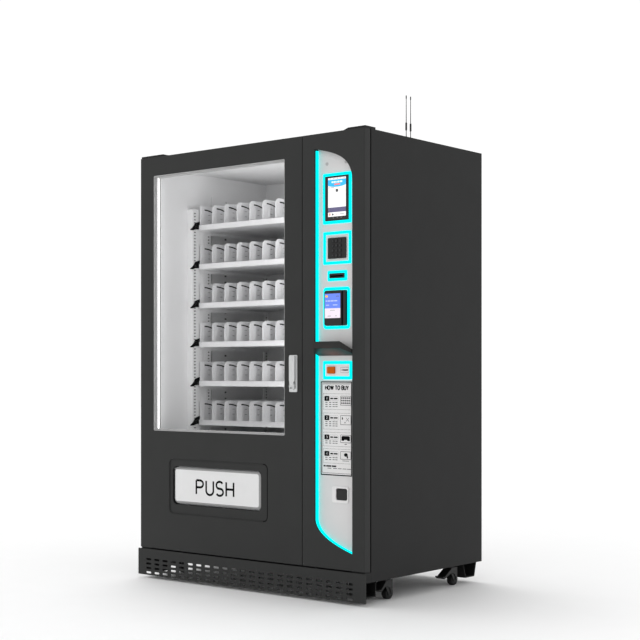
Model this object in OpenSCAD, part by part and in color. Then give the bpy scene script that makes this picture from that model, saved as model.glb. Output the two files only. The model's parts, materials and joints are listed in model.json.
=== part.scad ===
// Snack vending machine: glazed product door on the left, control door on the right.
// Millimetres. +Z up, front faces -Y, origin on the floor under the middle of the machine.

/* [Cabinet] */
// width over the doors and side sheets
width = 1312; // [1000:1:1500]
// depth from the doors' front face to the rear sheet
depth = 872; // [700:1:1000]
// height of the roof above the floor
height = 1940; // [1600:1:2100]
// height of the cabinet's underside above the floor
under_z = 94; // [70:1:140]
// thickness of the outer sheets
sheet = 3; // [2:0.5:5]
// distance from the doors' front face to the cabinet's front edge
body_s = 47; // [46:1:60]

/* [Doors] */
// thickness of both doors
door_t = 43; // [36:1:45]
// bottom edge of both doors
door_z0 = 140; // [120:1:180]
// position of the gap between the two doors, from the middle
split_x = 328; // [250:1:400]
// gap between the two doors
split_gap = 3; // [2:0.5:6]
// thickness of the door sheet
door_sheet = 2; // [1.5:0.5:4]
// distance from a door's outer side to its pivot axis
pivot_in = 14; // [12:0.5:16]
// pivot pin radius
pin_r = 6; // [4:0.5:8]
// radial running clearance of every pin in its bore
fit = 0.06; // [0.02:0.01:0.1]

/* [Window] */
// left edge of the window opening
win_x0 = -568; // [-600:1:-500]
// right edge of the window opening
win_x1 = 230; // [150:1:280]
// bottom edge of the window opening
win_z0 = 681; // [600:1:800]
// top edge of the window opening
win_z1 = 1853; // [1500:1:1880]
// radius of the door light tubes
lamp_r = 8; // [5:0.5:8]

/* [Delivery] */
// left edge of the delivery surround
sur_x0 = -467; // [-500:1:-400]
// right edge of the delivery surround
sur_x1 = 135; // [100:1:200]
// bottom edge of the delivery surround
sur_z0 = 306; // [280:1:340]
// top edge of the delivery surround
sur_z1 = 557; // [540:1:600]
// left edge of the delivery flap
flap_x0 = -440; // [-440:1:-400]
// right edge of the delivery flap
flap_x1 = 90; // [60:1:100]
// height of the delivery flap
flap_h = 164; // [120:1:170]
// height of the flap's lower edge
flap_z0 = 356; // [350:1:370]
// depth of the dish round the flap
dish_s = 4; // [3:0.5:8]
// height the flap's raised face stands out
pad_d = 7; // [3:0.5:8]
// width of the slanted border round the flap's face
pad_w = 11; // [6:0.5:14]

/* [Trays] */
// number of trays
trays = 6; // [6:1:6]
// number of lanes in a tray
lanes = 10; // [6:1:10]
// width of a lane
lane_w = 79.5; // [60:0.5:80]
// underside of the lowest tray
tray_z0 = 698; // [690:1:720]
// height from one tray to the next
tray_pitch = 185.4; // [170:0.1:190]
// distance of the tray fronts behind the doors' front face
tray_s = 290; // [270:1:320]
// depth of a tray
tray_d = 500; // [400:1:520]
// height of the price rail
rail_h = 25; // [20:1:35]
// height of the lane dividers above the price rail
div_h = 92; // [60:1:100]

/* [Control panel] */
// left edge of the opening in the control door
op_x0 = 394; // [380:1:410]
// right edge of the opening in the control door
op_x1 = 594; // [580:1:610]
// depth of the fascia behind the control door's front face
fascia_s = 26; // [20:1:30]
// width of the glowing frames
glow_w = 13; // [8:1:14]
// distance the scanner hood stands in front of the doors
hood_out = 42; // [30:1:60]
// width of a keypad key
key_w = 15; // [10:1:18]
// height of a keypad key
key_h = 14; // [10:1:16]

/* [Underside] */
// radius of the caster wheels
wheel_r = 26; // [22:1:28]
// width of the caster wheels
wheel_w = 26; // [18:1:28]
// distance of the casters from the machine's middle
caster_x = 603; // [560:1:605]
// wheel axle of the front casters behind the doors' front face
caster_s0 = 226; // [222:1:260]
// wheel axle of the rear casters behind the doors' front face
caster_s1 = 712; // [660:1:714]
// distance from a caster's swivel axis to its axle
trail = 18; // [10:1:22]

/* [Hidden] */
$fn = 48;
e = 0.2;
hw = width / 2;
y0 = -(depth - hood_out) / 2;
top_z = height - 1;
pivot_x = hw - pivot_in;
pivot_s = 21;
main_x1 = split_x - split_gap / 2;
ctrl_x0 = split_x + split_gap / 2;
in_x0 = -606;
in_x1 = 286;
in_s1 = 822;
in_z1 = 1898;
deck_z = 620;
sill_z = 134;
flap_s = 12;
flap_z1 = flap_z0 + flap_h;
flap_pz = flap_z1 - 8;
flap_ps = 16;
lock_x = 281;
lock_z0 = 866;
lock_z1 = 1022;
spin_z = 890;
lever_s = -11;
panel_x = 497;
hood_x = 494;
tray_x0 = (in_x0 + in_x1) / 2 - lanes * lane_w / 2;
kick_s = -5;
box_x0 = 567;
box_x1 = 634;

// a block from its limits: x, distance behind the doors' front face, z
module blk(x0, x1, s0, s1, z0, z1) {
    translate([x0, y0 + s0, z0])
        cube([x1 - x0, s1 - s0, z1 - z0]);
}

// a flat shape drawn in x and z, given thickness from s0 to s1
module slab(s0, s1) {
    translate([0, y0 + s1, 0])
        rotate([90, 0, 0])
            linear_extrude(height = s1 - s0)
                children();
}

// a flat shape drawn in s and z, given thickness from x0 to x1
module side_slab(x0, x1) {
    translate([x0, y0, 0])
        rotate([90, 0, 90])
            linear_extrude(height = x1 - x0)
                children();
}

module rod_x(r, x0, x1, s, z) {
    translate([x0, y0 + s, z])
        rotate([0, 90, 0])
            cylinder(r = r, h = x1 - x0);
}

module rod_y(r, x, s0, s1, z) {
    translate([x, y0 + s1, z])
        rotate([90, 0, 0])
            cylinder(r = r, h = s1 - s0);
}

module rod_z(r, x, s, z0, z1) {
    translate([x, y0 + s, z0])
        cylinder(r = r, h = z1 - z0);
}

module rrect(x0, x1, z0, z1, r) {
    translate([x0 + r, z0])
        square([x1 - x0 - 2 * r, z1 - z0]);
    translate([x0, z0 + r])
        square([x1 - x0, z1 - z0 - 2 * r]);
    for (x = [x0 + r, x1 - r])
        for (z = [z0 + r, z1 - r])
            translate([x, z])
                circle(r = r);
}

module ring(x0, x1, z0, z1, r, w, v) {
    difference() {
        rrect(x0, x1, z0, z1, r);
        rrect(x0 + w, x1 - w, z0 + v, z1 - v, max(r - w, 0.5));
    }
}

// ---- cabinet ----

module side_sheet() {
    difference() {
        blk(hw - 48, hw, body_s, depth, under_z, height);
        blk(hw - 49, hw - sheet, body_s + sheet, depth - sheet, under_z - 1, height + 1);
        blk(hw - 49, hw - sheet, depth - sheet - 1, depth + 1, under_z - 1, height + 1);
    }
}

module cabinet_panels() {
    color([0.16, 0.16, 0.16]) {
        side_sheet();
        mirror([1, 0, 0])
            side_sheet();
        difference() {
            blk(-hw + sheet + e, hw - sheet - e, body_s + sheet + e, depth - sheet - e, 1900, height);
            blk(-hw, hw, body_s + 2 * sheet, depth, 1899, height - sheet);
        }
        difference() {
            blk(-hw + sheet + e, hw - sheet - e, body_s + sheet + e, depth - sheet - e, under_z, sill_z);
            blk(-hw, hw, body_s + 2 * sheet, depth, under_z + sheet, sill_z + 1);
        }
        difference() {
            blk(-hw, hw, 3, body_s - e, under_z + e, sill_z);
            blk(-hw + sheet, hw - sheet, 3 + sheet, body_s, under_z + sheet, sill_z - sheet);
        }
    }
}

module louvre_rows() {
    for (i = [0:9])
        for (x = [-440, -160, 120, 400])
            rrect(x - 90, x + 90, 190 + i * 26, 198 + i * 26, 3.9);
}

module rear_panel() {
    color([0.18, 0.18, 0.18])
        difference() {
            blk(-hw + sheet + e, hw - sheet - e, depth - sheet, depth, under_z, height - e);
            slab(depth - sheet - 1, depth + 1)
                louvre_rows();
            slab(depth - sheet - 1, depth + 1)
                rrect(500, 548, 180, 212, 3);
        }
    color([0.05, 0.05, 0.05])
        difference() {
            slab(depth - 26, depth - e)
                rrect(500.5, 547.5, 180.5, 211.5, 3);
            slab(depth - 18, depth + 1)
                rrect(508, 540, 185, 207, 4);
        }
}

// box under a corner, open towards the outside: limits at its top and at its bottom
module corner_box(top0, top1, low0, low1) {
    w = 5;
    difference() {
        side_slab(box_x0, box_x1)
            polygon([[top0, under_z], [top1, under_z], [low1, 27], [low0, 27]]);
        side_slab(box_x0 + w, box_x1 + 1)
            polygon([[top0 + w, under_z - w], [top1 - w, under_z - w],
                [low1 - w, 27 + w], [low0 + w, 27 + w]]);
    }
}

module base_beams() {
    color([0.13, 0.13, 0.13])
        for (m = [0, 1])
            mirror([m, 0, 0]) {
                corner_box(12, 111, 14, 106);
                corner_box(752, 862, 772, 845);
            }
}

module kick_panel() {
    color([0.2, 0.2, 0.2])
        difference() {
            union() {
                blk(-664, 664, kick_s, kick_s + 2.5, 14, sill_z);
                for (x = [-664, 661.5])
                    blk(x, x + 2.5, kick_s, 2.8, 14, sill_z);
                for (x = [-500, -180, 180, 500])
                    blk(x - 15, x + 15, kick_s + 2, 2.8, 100, 126);
            }
            slab(kick_s - 1, 0)
                for (i = [0:22])
                    for (j = [0:3])
                        rrect(-611.5 + i * 53.6, -578.5 + i * 53.6, 21.3 + j * 20.3, 30.7 + j * 20.3, 4.6);
        }
}

module hinge_plate(x0, x1, z0, z1, p0, p1) {
    slab(8, 77)
        polygon([[x0, z0], [x1, z0], [x1, z1], [x0 + 24, z1], [x0, z0 + 1]]);
    rod_z(pin_r, pivot_x, pivot_s, p0, p1);
}

module hinge_plates() {
    color([0.13, 0.13, 0.13]) {
        hinge_plate(543, hw - 1, height, height + 9, height - 25, height + 4);
        mirror([1, 0, 0])
            hinge_plate(490, hw - 1, height, height + 9, height - 25, height + 4);
        for (m = [0, 1])
            mirror([m, 0, 0]) {
                blk(590, hw - 2, 8, body_s - 2, sill_z, sill_z + 5);
                rod_z(pin_r, pivot_x, pivot_s, sill_z + 1, door_z0 + 22);
            }
    }
}

module antenna(x, s) {
    translate([x, y0 + s, height])
        rotate_extrude()
            polygon([[0, 0], [14, 0], [14, 10], [11, 13], [4, 14], [1.8, 20], [1.8, 43], [4, 44],
                [4, 75], [1.8, 78], [1.4, 178], [2.4, 179], [2.4, 191], [1.6, 193], [0, 193]]);
}

module antennas() {
    color([0.1, 0.1, 0.1]) {
        antenna(596, 372);
        antenna(596, 404);
    }
}

// ---- product compartment ----

module inner_liner() {
    color([0.8, 0.8, 0.81]) {
        blk(in_x0 - 2, in_x0, 52, 824, 140, 1900 - e);
        blk(in_x0 + e, in_x1 - e, in_s1, 824, 140, in_z1 - e);
        blk(in_x0 + e, in_x1 - e, 56.5, 824, in_z1, in_z1 + 1.8);
        blk(in_x1, in_x1 + 2, 64, 824, 140, in_z1 + 1.8);
        blk(in_x0 + e, in_x1 - e, 340 + e, in_s1 - e, deck_z - 2, deck_z);
        blk(in_x0 + e, in_x1 - e, 338, 340, 140, deck_z);
        difference() {
            blk(in_x1 + 2 + e, 308, 64, 866, 140, 1897);
            blk(in_x1, 306, 67, 867, 139, 1898);
        }
    }
}

module upright_front() {
    difference() {
        blk(in_x0 + e, -570, 258, 378, deck_z + e, 1725);
        blk(in_x0, -573, 261, 375, deck_z, 1726);
        side_slab(-580, -560)
            for (i = [0:71])
                for (s = [272, 366])
                    translate([s, 640 + i * 15])
                        square([10, 6], center = true);
        side_slab(-580, -560)
            for (i = [0:5])
                translate([262.5, tray_z0 + 70 + i * tray_pitch])
                    circle(r = 2.5);
    }
}

module upright_rear() {
    difference() {
        blk(in_x0 + e, in_x0 + 6, 420, 576, deck_z + e, 1800);
        side_slab(in_x0 - 1, in_x0 + 8)
            for (i = [0:38])
                translate([516, 640 + i * 30])
                    square([14, 9], center = true);
    }
    difference() {
        blk(in_x0 + e, in_x0 + 14, 796, in_s1 - e, deck_z + e, 1800);
        side_slab(in_x0 - 1, in_x0 + 16)
            for (i = [0:76])
                translate([808, 640 + i * 15])
                    square([9, 6], center = true);
    }
}

module runner(z) {
    side = -569.7;
    difference() {
        union() {
            blk(side, tray_x0 + 12, 305, 790, z - 18, z + 14);
            blk(in_x0 + 6 + e, side + 1, 450, 550, z - 12, z + 8);
        }
        blk(side + 2.5, tray_x0 + 13, 304, 791, z - 0.3, z + 15);
        blk(side + 2.5, tray_x0 + 13, 304, 791, z - 19, z - 3);
    }
}

module half_uprights() {
    upright_front();
    upright_rear();
    for (i = [0:trays - 1])
        runner(tray_z0 + i * tray_pitch);
}

module shelf_uprights() {
    color([0.78, 0.78, 0.78]) {
        half_uprights();
        translate([in_x0 + in_x1, 0, 0])
            mirror([1, 0, 0])
                half_uprights();
    }
}

module latch(z) {
    side_slab(-569.5, -563)
        polygon([[272, z + 35], [300, z + 43], [303, z + 30], [303, z + 6], [267, z + 4], [257, z - 1],
            [240, z - 2], [239, z + 3], [250, z + 9], [262, z + 20]]);
}

module tray_latches() {
    color([0.03, 0.03, 0.03])
        for (i = [0:trays - 1]) {
            latch(tray_z0 + i * tray_pitch);
            translate([in_x0 + in_x1, 0, 0])
                mirror([1, 0, 0])
                    latch(tray_z0 + i * tray_pitch);
        }
}

module delivery_bin() {
    color([0.5, 0.5, 0.5]) {
        blk(-461, 129, 56, 334, 328, 330);
        slab(56, 334)
            polygon([[-462, 328], [-462, 330.5], [-604, 470], [-604, 466.5]]);
        slab(56, 334)
            polygon([[130, 328], [130, 330.5], [284, 470], [284, 466.5]]);
        blk(-604, 284, 335, 337.5, 330, deck_z);
        blk(-461, 129, 52, 54, 324, 348);
    }
}

module cooling_unit() {
    color([0.12, 0.12, 0.12]) {
        rod_z(78, 120, 620, under_z + sheet + 16, 300);
        translate([120, y0 + 620, 300])
            sphere(r = 77);
        blk(20, 220, 520, 720, under_z + sheet, under_z + sheet + 15);
    }
    color([0.6, 0.6, 0.62]) {
        blk(-560, -220, 700, 780, under_z + sheet, 420);
        difference() {
            blk(-540, -240, 640, 690, 120, 400);
            rod_y(120, -390, 639, 691, 262);
        }
        for (a = [0:60:120])
            translate([-390, y0 + 665, 262])
                rotate([0, a, 0])
                    cube([210, 3, 34], center = true);
        blk(-540, 200, 420, 500, 460, 600);
    }
}

// ---- main door ----

module door_plan(x0, x1, ra, rb) {
    translate([x0 + ra, 0])
        square([x1 - x0 - ra - rb, door_t]);
    translate([x0, ra])
        square([ra, door_t - 2 * ra]);
    translate([x1 - rb, rb])
        square([rb, door_t - 2 * rb]);
    for (s = [ra, door_t - ra])
        translate([x0 + ra, s])
            circle(r = ra);
    for (s = [rb, door_t - rb])
        translate([x1 - rb, s])
            circle(r = rb);
}

module main_door_skin() {
    w = door_sheet;
    color([0.2, 0.2, 0.2])
        difference() {
            translate([0, y0, door_z0])
                linear_extrude(height = top_z - door_z0)
                    door_plan(-hw, main_x1, 6, 2);
            slab(w, door_t + 1)
                difference() {
                    translate([-hw + w, door_z0 + w])
                        square([main_x1 + hw - 2 * w, top_z - door_z0 - 2 * w]);
                    translate([-hw, door_z0])
                        square([34, 34]);
                    translate([-hw, top_z - 34])
                        square([34, 34]);
                    rrect(win_x0 - w, win_x1 + w, win_z0 - w, win_z1 + w, 8);
                    rrect(sur_x0 - w, sur_x1 + w, sur_z0 - w, sur_z1 + w, 26);
                    translate([lock_x - 21, lock_z0 + 2])
                        square([42, lock_z1 - lock_z0 - 4]);
                }
            slab(door_t - 3, door_t + 1)
                translate([-hw + w, door_z0 + w])
                    square([main_x1 + hw - 2 * w, top_z - door_z0 - 2 * w]);
            slab(-1, door_t + 1)
                rrect(win_x0, win_x1, win_z0, win_z1, 6);
            slab(-1, door_t + 1)
                rrect(sur_x0, sur_x1, sur_z0, sur_z1, 24);
            slab(-1, door_t + 1)
                translate([lock_x - 18.5, lock_z0 + 4.5])
                    square([37, lock_z1 - lock_z0 - 9]);
            rod_z(pin_r + fit, -pivot_x, pivot_s, door_z0 - 1, door_z0 + 24);
            rod_z(pin_r + fit, -pivot_x, pivot_s, top_z - 26, top_z + 1);
        }
}

module door_inner_panel() {
    color([0.72, 0.72, 0.73])
        difference() {
            blk(-hw + 2.5, main_x1 - 2.5, door_t - 2.8, door_t - 0.5, door_z0 + 2.5, top_z - 2.5);
            slab(door_t - 4, door_t + 1)
                rrect(win_x0 + 0.2, win_x1 - 0.2, win_z0 + 0.2, win_z1 - 0.2, 6);
            slab(door_t - 4, door_t + 1)
                rrect(sur_x0 + e, sur_x1 - e, sur_z0 + e, sur_z1 - e, 23.8);
            slab(door_t - 4, door_t + 1)
                translate([lock_x - 18.5, lock_z0 + 4.5])
                    square([37, lock_z1 - lock_z0 - 9]);
        }
}

module window_glass() {
    color([0.8, 0.9, 0.92, 0.3]) {
        slab(3, 7)
            rrect(win_x0 + 3.2, win_x1 - 3.2, win_z0 + 3.2, win_z1 - 3.2, 3);
        slab(33, 37)
            rrect(win_x0 + 3.2, win_x1 - 3.2, win_z0 + 3.2, win_z1 - 3.2, 3);
    }
}

module window_frame() {
    color([0.85, 0.85, 0.85]) {
        slab(1.5, door_t)
            ring(win_x0 + 0.4, win_x1 - 0.4, win_z0 + 0.4, win_z1 - 0.4, 5.6, 2.6, 2.6);
        slab(9, 31)
            ring(win_x0 + 3.2, win_x1 - 3.2, win_z0 + 3.2, win_z1 - 3.2, 3, 6, 6);
    }
}

module lamp(x, z0, z1) {
    rod_z(lamp_r, x, 52, z0, z1);
    blk(x - 6, x + 6, door_t, 46.5, z0 + 5, z1 - 5);
    for (z = [z0 - 4, z1 - 4])
        rod_z(lamp_r + 0.6, x, 52, z, z + 8);
}

module door_lights() {
    color([1, 1, 1]) {
        lamp(-596, 690, 1846);
        lamp(258, 690, 1846);
        rod_x(lamp_r, -570, 232, 52, 1872);
        blk(-560, 222, door_t, 46.5, 1866, 1878);
    }
}

module delivery_surround() {
    color([0.2, 0.2, 0.2])
        difference() {
            union() {
                slab(dish_s, door_t + 4)
                    rrect(sur_x0 + 0.5, sur_x1 - 0.5, sur_z0 + 0.5, sur_z1 - 0.5, 23.5);
                slab(0.6, dish_s + 1)
                    ring(sur_x0 + 0.5, sur_x1 - 0.5, sur_z0 + 0.5, sur_z1 - 0.5, 23.5, 3, 3);
            }
            slab(0, door_t + 5)
                rrect(flap_x0 - 6, flap_x1 + 3, flap_z0 - 6, flap_z1 + 3, 25);
            slab(dish_s + 5, door_t + 5)
                rrect(flap_x0 - 8, flap_x1 + 8, flap_z0 - 8, flap_z1 + 14, 8);
            rod_x(3 + fit, flap_x0 - 14, flap_x1 + 14, flap_ps, flap_pz);
        }
}

// raised face of the flap, stepped back towards its edges
module flap_pad() {
    for (k = [1, 2]) {
        inset = k * pad_w / 2;
        slab(flap_s - k * pad_d / 2, flap_s - (k - 1) * pad_d / 2)
            rrect(flap_x0 + inset, flap_x1 - inset, flap_z0 + inset, flap_z1 - inset, 22 - inset);
    }
}

module delivery_flap() {
    color([0.95, 0.95, 0.95]) {
        slab(flap_s, flap_s + 8)
            rrect(flap_x0, flap_x1, flap_z0, flap_z1, 22);
        flap_pad();
        rod_x(3, flap_x0 - 13, flap_x1 + 13, flap_ps, flap_pz);
    }
}

module lock_housing() {
    color([0.72, 0.72, 0.72])
        difference() {
            union() {
                slab(-4, 0)
                    rrect(lock_x - 22, lock_x + 22, lock_z0, lock_z1, 5);
                slab(-1, 30)
                    rrect(lock_x - 18, lock_x + 18, lock_z0 + 5, lock_z1 - 5, 2);
            }
            rod_y(10 + fit, lock_x, -5, 31, spin_z);
        }
}

module lock_spindle() {
    color([0.45, 0.45, 0.45]) {
        difference() {
            rod_y(14, lock_x, -14.5, -5, spin_z);
            blk(lock_x - 9.5, lock_x + 9.5, -16, -7, spin_z - 15, spin_z + 15);
        }
        rod_y(10, lock_x, -6, 51, spin_z);
        slab(50, 55)
            rrect(lock_x - 9, lock_x + 9, spin_z - 12, spin_z + 55, 8.9);
        rod_x(1.8, lock_x - 11, lock_x + 11, lever_s, spin_z);
    }
}

module lock_lever() {
    color([0.78, 0.78, 0.78])
        difference() {
            union() {
                blk(lock_x - 9, lock_x + 9, -13.6, -9.2, spin_z, spin_z + 40);
                rod_x(3.6, lock_x - 9, lock_x + 9, lever_s, spin_z);
                slab(-13.6, -9.2)
                    rrect(lock_x - 15, lock_x + 15, spin_z + 20, lock_z1 - 4, 5);
                rod_y(7, lock_x, -14.5, -8, lock_z1 - 18);
            }
            rod_x(1.8 + fit, lock_x - 12, lock_x + 12, lever_s, spin_z);
            blk(lock_x - 0.8, lock_x + 0.8, -16, -13.8, lock_z1 - 22, lock_z1 - 14);
        }
}

// ---- control door ----

// point on the lower sweep of the opening, grown outward by g
function low_pt(t, g) = [
    (1 - t) * (1 - t) * (op_x0 - g) + 2 * t * (1 - t) * (op_x0 + 8 - g) + t * t * (op_x1 + g),
    (1 - t) * (1 - t) * 335 + 2 * t * (1 - t) * (262 - g) + t * t * (206 - g)];

// point on the shoulder of the opening, from the right side up to the top left corner
function top_pt(t, g) = [
    op_x1 + g - t * t * (3 - 3 * t) * 101 - t * t * t * (op_x1 - op_x0 + 2 * g),
    1728 + 3 * t * (1 - t) * (1 - t) * 110 + 3 * t * t * (1 - t) * (125 + g) + t * t * t * (150 + g)];

module opening(g) {
    polygon(concat(
        [for (i = [0:16]) low_pt(i / 16, g)],
        [for (i = [0:16]) top_pt(i / 16, g)]));
}

module control_door_skin() {
    w = door_sheet;
    color([0.2, 0.2, 0.2])
        difference() {
            translate([0, y0, door_z0])
                linear_extrude(height = top_z - door_z0)
                    door_plan(ctrl_x0, hw, 2, 6);
            slab(w, door_t + 1)
                difference() {
                    translate([ctrl_x0 + w, door_z0 + w])
                        square([hw - ctrl_x0 - 2 * w, top_z - door_z0 - 2 * w]);
                    translate([hw - 34, door_z0])
                        square([34, 34]);
                    translate([hw - 34, top_z - 34])
                        square([34, 34]);
                    opening(3);
                }
            slab(fascia_s, door_t + 1)
                translate([ctrl_x0 + w, door_z0 + 35])
                    square([hw - ctrl_x0 - 2 * w, top_z - door_z0 - 70]);
            slab(-1, door_t + 1)
                opening(0);
            rod_z(pin_r + fit, pivot_x, pivot_s, door_z0 - 1, door_z0 + 24);
            rod_z(pin_r + fit, pivot_x, pivot_s, top_z - 26, top_z + 1);
        }
}

module fascia_cuts() {
    rrect(panel_x - 59, panel_x + 59, 1577, 1753, 4);
    rrect(panel_x - 45, panel_x + 45, 1419, 1502, 3.5);
    rrect(panel_x - 40, panel_x + 40, 1336, 1357, 2);
    rrect(panel_x - 50, panel_x + 50, 1152, 1276, 5.5);
    rrect(panel_x - 56, panel_x + 66, 936, 981, 2.5);
    rrect(panel_x - 11, panel_x + 59, 416, 477, 6);
    rrect(panel_x - 30, panel_x + 30, 1030, 1062, 4);
}

module fascia_plate() {
    color([0.85, 0.84, 0.84])
        difference() {
            blk(360, 630, fascia_s, fascia_s + 3, 182, 1897);
            slab(fascia_s - 1, fascia_s + 4)
                fascia_cuts();
        }
}

module side_guide() {
    n = 16;
    difference() {
        polygon(concat(
            [[op_x0 + 0.3, 1871]],
            [for (i = [0:n]) low_pt(i / n, -0.3)],
            [for (i = [n:-1:0]) low_pt(i / n, -3)],
            [[op_x0 + 3, 1871]]));
        translate([op_x1 - 4, 150])
            square([10, 80]);
    }
}

module light_guides() {
    color([0, 0.95, 1]) {
        slab(9, fascia_s - e)
            side_guide();
        slab(fascia_s - 3.2, fascia_s - e) {
            ring(panel_x - 75.5, panel_x + 75, 1563, 1773, 4, glow_w, glow_w - 1);
            ring(panel_x - 74, panel_x + 73.5, 1395.5, 1531, 4, glow_w, glow_w - 1);
            ring(panel_x - 50.5, panel_x + 51.5, 1326.5, 1369.5, 4, glow_w - 2, glow_w - 2);
            ring(panel_x - 73.5, panel_x + 66.5, 1128, 1301, 14, glow_w - 1, glow_w - 1);
            ring(panel_x - 75, panel_x + 77.5, 920, 996, 4, glow_w, glow_w);
        }
    }
}

module touch_screen() {
    color([0.02, 0.02, 0.02]) {
        slab(fascia_s - 6, fascia_s - 1)
            rrect(panel_x - 62.2, panel_x + 61.7, 1575.3, 1760.7, 3);
        slab(fascia_s - 2, 62)
            rrect(panel_x - 58.5, panel_x + 58.5, 1577.5, 1752.5, 3.5);
    }
}

function key_x(k) = panel_x - 21 + (k % 3) * 19.5;
function key_z(k) = 1491.5 - floor(k / 3) * 20;

module keypad_housing() {
    color([0.08, 0.08, 0.08])
        difference() {
            union() {
                slab(fascia_s - 6, fascia_s - e)
                    rrect(panel_x - 47, panel_x + 47, 1419, 1505, 4);
                slab(fascia_s - 1, 46)
                    rrect(panel_x - 44.5, panel_x + 44.5, 1419.5, 1501.5, 4);
            }
            for (k = [0:11])
                slab(fascia_s - 8, 36)
                    rrect(key_x(k) - key_w / 2 - 0.5, key_x(k) + key_w / 2 + 0.5,
                        key_z(k) - key_h / 2 - 0.5, key_z(k) + key_h / 2 + 0.5, 2);
        }
}

module key(k) {
    color([0.16, 0.16, 0.17])
        slab(fascia_s - 8, fascia_s + 4)
            rrect(key_x(k) - key_w / 2, key_x(k) + key_w / 2,
                key_z(k) - key_h / 2, key_z(k) + key_h / 2, 2);
}

module bill_slot() {
    color([0.03, 0.03, 0.03])
        difference() {
            union() {
                slab(fascia_s - 6, fascia_s - e)
                    rrect(panel_x - 39.2, panel_x + 40.2, 1337.8, 1358.2, 2);
                slab(fascia_s - 1, fascia_s + 8)
                    rrect(panel_x - 39.2, panel_x + 39.2, 1338, 1356.5, 2);
                slab(fascia_s + 6, 150)
                    rrect(panel_x - 50, panel_x + 50, 1318, 1386, 4);
            }
            blk(panel_x - 34, panel_x + 34, 0, 120, 1343, 1350);
        }
}

module card_terminal() {
    color([0.06, 0.06, 0.06])
        difference() {
            union() {
                slab(fascia_s - 15, fascia_s - e)
                    rrect(panel_x - 59.5, panel_x + 53.2, 1142, 1287, 9);
                slab(fascia_s - 1, 62)
                    rrect(panel_x - 49.5, panel_x + 49.5, 1152.5, 1275.5, 6);
            }
            blk(panel_x + 32, panel_x + 41, 5, fascia_s - 5, 1130, 1295);
        }
}

module hood_plan() {
    polygon([[-96.4, fascia_s - e], [-96.4, -1], [-70, -hood_out],
        [70, -hood_out], [96.4, -1], [96.4, fascia_s - e]]);
}

// space cut away above a slanted end of the hood
module hood_cut() {
    translate([67, y0 - hood_out, 1076])
        rotate([0, 0, 39.5])
            rotate([0, 32, 0])
                translate([0, -150, 0])
                    cube([150, 300, 80]);
}

module scanner_hood() {
    color([0.1, 0.1, 0.1]) {
        translate([hood_x, 0, 0])
            difference() {
                intersection() {
                    translate([0, y0, 1010])
                        linear_extrude(height = 80)
                            hood_plan();
                    side_slab(-120, 120)
                        polygon([[-hood_out, 1048], [-hood_out, 1072], [-hood_out + 4, 1076],
                            [fascia_s, 1076], [fascia_s, 1018], [fascia_s - 6, 1018]]);
                }
                hood_cut();
                mirror([1, 0, 0])
                    hood_cut();
            }
        slab(fascia_s - 1, 60)
            rrect(panel_x - 29.5, panel_x + 29.5, 1030.5, 1061.5, 3.5);
    }
}

module coin_panel() {
    color([0.88, 0.87, 0.87])
        difference() {
            union() {
                slab(fascia_s - 3, fascia_s - e)
                    rrect(panel_x - 61.7, panel_x + 64.2, 933.3, 982.7, 1);
                slab(fascia_s - 1, fascia_s + 20)
                    rrect(panel_x - 55.5, panel_x + 64.2, 936.5, 980.5, 3);
                slab(fascia_s - 5, fascia_s - 2)
                    rrect(panel_x + 21, panel_x + 63, 949, 968.5, 2);
            }
            slab(fascia_s - 7, fascia_s + 21)
                rrect(panel_x + 25, panel_x + 59, 956, 961.4, 2);
            slab(fascia_s - 7, fascia_s + 15)
                rrect(panel_x - 48.6, panel_x - 9.4, 943.4, 972.6, 4);
        }
}

module coin_button() {
    color([0.85, 0.42, 0.1])
        slab(fascia_s - 11, fascia_s + 6)
            rrect(panel_x - 48, panel_x - 10, 944, 972, 4);
}

module instruction_plate() {
    color([0.85, 0.85, 0.85])
        slab(fascia_s - 2, fascia_s - e)
            rrect(panel_x - 88, panel_x + 78, 522, 912, 1);
}

module coin_return_cup() {
    color([0.85, 0.85, 0.85])
        difference() {
            union() {
                slab(fascia_s - 4, fascia_s - e)
                    rrect(panel_x - 27, panel_x + 59.5, 411, 479, 10);
                slab(fascia_s - 1, fascia_s + 60)
                    rrect(panel_x - 10.5, panel_x + 58.5, 416.5, 476.5, 5.5);
            }
            slab(fascia_s - 6, fascia_s + 57)
                rrect(panel_x - 6, panel_x + 54, 422, 471, 9);
            slab(fascia_s + 8, fascia_s + 57)
                rrect(panel_x - 8, panel_x + 56, 419, 474, 3);
            rod_x(2 + fit, panel_x - 9, panel_x + 57, fascia_s + 2, 464);
        }
}

module coin_return_flap() {
    color([0.05, 0.05, 0.05]) {
        slab(fascia_s, fascia_s + 4)
            rrect(panel_x - 5.4, panel_x + 53.4, 422.6, 468.6, 8.4);
        rod_x(2, panel_x - 8, panel_x + 56, fascia_s + 2, 464);
    }
}

// ---- trays ----

// curved slot near the top of a divider, h is the height of the divider's top edge
module divider_slot(h) {
    n = 10;
    polygon(concat(
        [for (i = [0:n]) [tray_s + 34 + 64 * i / n, h - 14 - 12 * pow(i / n, 2)]],
        [for (i = [n:-1:0]) [tray_s + 34 + 64 * i / n, h - 18 - 12 * pow(i / n, 2)]]));
}

module divider(x, z, r) {
    h = z + rail_h + div_h;
    side_slab(x - 1.25, x + 1.25)
        difference() {
            union() {
                translate([tray_s + 4.4, z + 5.2])
                    square([tray_d - 20, rail_h + div_h - 5.2 - r]);
                translate([tray_s + 4.4 + r, z + 5.2])
                    square([tray_d - 20 - r, rail_h + div_h - 5.2]);
                translate([tray_s + 4.4 + r, h - r])
                    circle(r = r);
            }
            divider_slot(h);
            for (d = [40, 64])
                translate([tray_s + 66, h - d])
                    square([14, 2.4], center = true);
        }
}

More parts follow.
